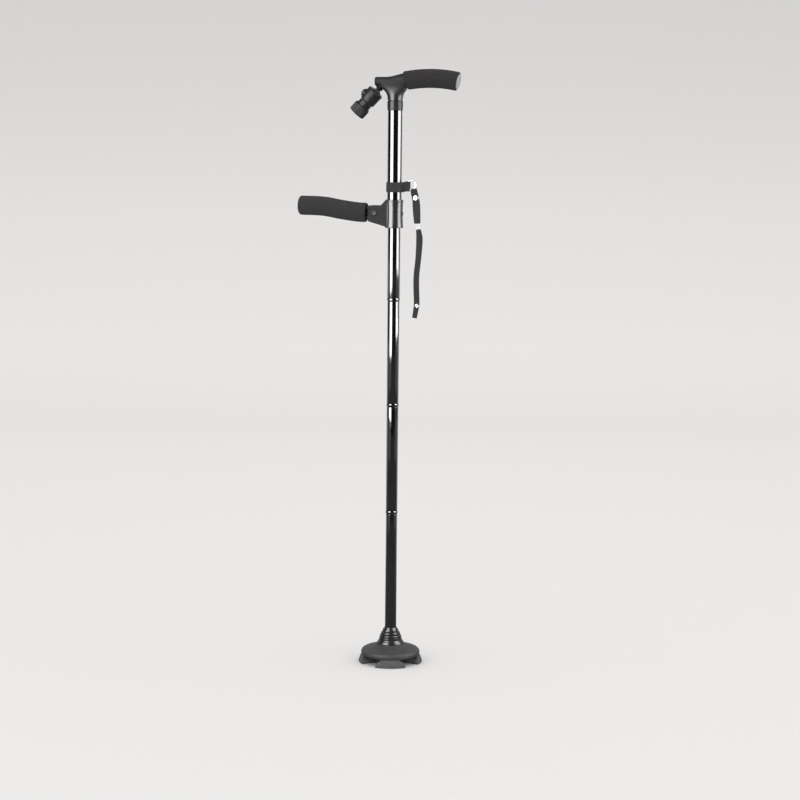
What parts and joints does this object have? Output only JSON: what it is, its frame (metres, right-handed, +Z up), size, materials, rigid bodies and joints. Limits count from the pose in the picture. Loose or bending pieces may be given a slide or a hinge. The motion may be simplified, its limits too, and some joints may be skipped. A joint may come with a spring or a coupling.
{
  "type": "folding walking cane",
  "caption": "Height-adjustable folding walking cane with a foam T handle, a fold-up second handle, a swivelling torch, a wrist strap and a tilting base on rubber lobes.",
  "frame": {"origin": "middle of the sole's underside, on the shaft's axis", "axes": "+Z up along the shaft, +X along the main grip, -X to the torch and the second handle"},
  "size_m": [0.2492, 0.0976, 0.9048],
  "materials": {
    "base_rubber": "matte moulded rubber",
    "satin_plastic": "satin moulded plastic",
    "nylon": "moulded nylon",
    "steel": "plated steel",
    "boot_rubber": "smooth black rubber",
    "gloss_tube": "gloss black enamel on aluminium tube",
    "elastic": "braided elastic",
    "bright_metal": "bright nickel plate",
    "core_metal": "plain drawn tube",
    "foam": "closed-cell foam",
    "cap_plastic": "satin grey moulding",
    "torch_plastic": "satin black moulding",
    "led_board": "circuit board",
    "lens": "clear lens",
    "webbing": "woven nylon webbing"
  },
  "bodies": {
    "base": {"sole_pad": "base_rubber", "base_dome": "satin_plastic", "ball_socket": "nylon", "retaining_ring": "nylon", "base_screw_1": "steel", "base_screw_2": "steel", "base_screw_3": "steel", "ankle_boot": "boot_rubber"},
    "liner": {"socket_liner": "nylon"},
    "ankle_stud": {"ball_stud": "steel"},
    "lower_shaft": {"stem_plug": "nylon", "plug_pin": "steel", "tube_4": "gloss_tube", "ferrule_3": "gloss_tube", "cord_anchor_bottom": "nylon", "elastic_cord": "elastic"},
    "shaft_3": {"tube_3": "gloss_tube", "ferrule_2": "gloss_tube"},
    "shaft_2": {"tube_2": "gloss_tube", "ferrule_1": "gloss_tube"},
    "inner_shaft": {"inner_tube": "gloss_tube", "cord_anchor_top": "nylon", "button_spring": "steel"},
    "button": {"height_button": "bright_metal"},
    "upper": {"outer_tube": "gloss_tube", "tube_bush": "nylon", "head_collar": "satin_plastic", "handle_head": "satin_plastic", "handle_core": "core_metal", "main_grip": "foam", "grip_end_cap": "cap_plastic", "head_screw": "steel", "torch_stub": "torch_plastic", "strap_band": "webbing", "handle_sleeve": "satin_plastic", "sleeve_screw": "steel"},
    "second_handle": {"second_handle_core": "satin_plastic", "second_grip": "foam", "pivot_pin": "steel", "pivot_nut": "steel"},
    "torch_neck": {"torch_knuckle": "torch_plastic"},
    "torch": {"torch_tilt_pin": "steel", "torch_tail_cap": "torch_plastic", "torch_body": "torch_plastic", "torch_bezel": "torch_plastic", "torch_reflector": "bright_metal", "torch_led": "led_board", "torch_lens": "lens", "torch_cell_1": "steel", "torch_cell_2": "steel", "torch_spring": "steel"},
    "torch_switch": {"torch_button": "boot_rubber"},
    "d_ring": {"strap_d_ring": "bright_metal"},
    "strap": {"strap_upper": "webbing", "rivet_top": "bright_metal", "strap_link": "bright_metal"},
    "strap_tail": {"strap_lower": "webbing", "rivet_bottom": "bright_metal"}
  },
  "joints": [
    {"name": "ankle_tilt_side", "type": "hinge", "parent": "base", "child": "liner", "pos_m": [0, 0, 0.024], "axis": [1, 0, 0], "range_deg": [-8, 8], "stiffness_Nm_per_rad": 15, "deforming": ["ankle_boot"]},
    {"name": "ankle_tilt_forward", "type": "hinge", "parent": "liner", "child": "ankle_stud", "pos_m": [0, 0, 0.024], "axis": [0, 1, 0], "range_deg": [-8, 8], "stiffness_Nm_per_rad": 15, "deforming": ["ankle_boot"]},
    {"name": "base_swivel", "type": "hinge", "parent": "ankle_stud", "child": "lower_shaft", "pos_m": [0, 0, 0.05], "axis": [0, 0, 1], "continuous": true},
    {"name": "pull_joint_3", "type": "slide", "parent": "lower_shaft", "child": "shaft_3", "axis": [0, 0, 1], "range_m": [0, 0.045], "stiffness_N_per_m": 250, "springref_m": -0.03, "deforming": ["elastic_cord"]},
    {"name": "pull_joint_2", "type": "slide", "parent": "shaft_3", "child": "shaft_2", "axis": [0, 0, 1], "range_m": [0, 0.045], "stiffness_N_per_m": 250, "springref_m": -0.03, "deforming": ["elastic_cord"]},
    {"name": "pull_joint_1", "type": "slide", "parent": "shaft_2", "child": "inner_shaft", "axis": [0, 0, 1], "range_m": [0, 0.045], "stiffness_N_per_m": 250, "springref_m": -0.03, "deforming": ["elastic_cord"]},
    {"name": "height_adjust", "type": "slide", "parent": "inner_shaft", "child": "upper", "axis": [0, 0, 1], "range_m": [-0.05, 0.025]},
    {"name": "height_button_press", "type": "slide", "parent": "inner_shaft", "child": "button", "axis": [0, -1, 0], "range_m": [0, 0.004], "stiffness_N_per_m": 500, "springref_m": -0.003, "deforming": ["button_spring"]},
    {"name": "second_handle_fold", "type": "hinge", "parent": "upper", "child": "second_handle", "pos_m": [-0.0287, 0, 0.691], "axis": [0, 1, 0], "range_deg": [0, 80]},
    {"name": "torch_swivel", "type": "hinge", "parent": "upper", "child": "torch_neck", "pos_m": [-0.0277, 0, 0.8734], "axis": [-0.6899, 0, -0.7239], "range_deg": [-45, 45]},
    {"name": "torch_tilt", "type": "hinge", "parent": "torch_neck", "child": "torch", "pos_m": [-0.0277, 0, 0.8734], "axis": [0, 1, 0], "range_deg": [-15, 35]},
    {"name": "torch_button_press", "type": "slide", "parent": "torch", "child": "torch_switch", "axis": [0.7239, 0, -0.6899], "range_m": [0, 0.0012], "stiffness_N_per_m": 600, "springref_m": -0.001},
    {"name": "d_ring_swing", "type": "hinge", "parent": "upper", "child": "d_ring", "pos_m": [0.0225, 0, 0.731], "axis": [0, 0, 1], "range_deg": [-60, 60]},
    {"name": "strap_swing", "type": "hinge", "parent": "d_ring", "child": "strap", "pos_m": [0.03, 0, 0.726], "axis": [1, 0, 0], "range_deg": [-60, 60]},
    {"name": "strap_tail_swing", "type": "hinge", "parent": "strap", "child": "strap_tail", "pos_m": [0.0375, 0, 0.6645], "axis": [1, 0, 0], "range_deg": [-60, 60]}
  ]
}
